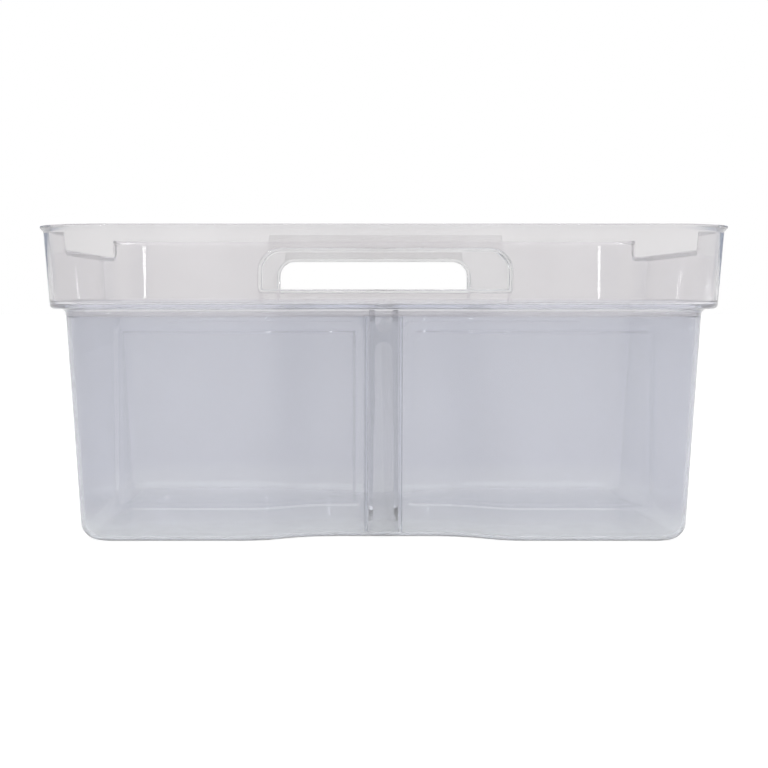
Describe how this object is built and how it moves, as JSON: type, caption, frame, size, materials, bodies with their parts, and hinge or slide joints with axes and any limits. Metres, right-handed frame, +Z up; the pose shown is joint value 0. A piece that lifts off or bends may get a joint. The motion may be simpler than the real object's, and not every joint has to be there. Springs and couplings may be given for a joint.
{
  "type": "cleaning caddy",
  "caption": "Clear plastic carry caddy: a collar with front and rear hand holes over a waisted tub that a hollow lift-out divider parts into two pockets.",
  "frame": {"origin": "centre of the underside of the base, on the surface that the caddy stands on", "axes": "+Z up, +X to the right seen from the front, front hand hole towards -Y"},
  "size_m": [0.403, 0.28, 0.183],
  "materials": {
    "clear_collar": "milky clear polypropylene, glossy, faintly warm",
    "clear_tub": "milky clear polypropylene, glossy, faintly blue in the thick of the walls",
    "clear_divider": "milky clear polypropylene, glossy, faintly blue",
    "clear_grip": "milky clear polypropylene, satin"
  },
  "bodies": {
    "caddy": {"collar": "clear_collar", "tub": "clear_tub", "front_grip": "clear_grip", "rear_grip": "clear_grip"},
    "divider": {"divider": "clear_divider"}
  },
  "joints": [
    {"name": "divider_lift", "type": "slide", "parent": "caddy", "child": "divider", "axis": [0, 0, 1], "range_m": [0, 0.18]}
  ]
}
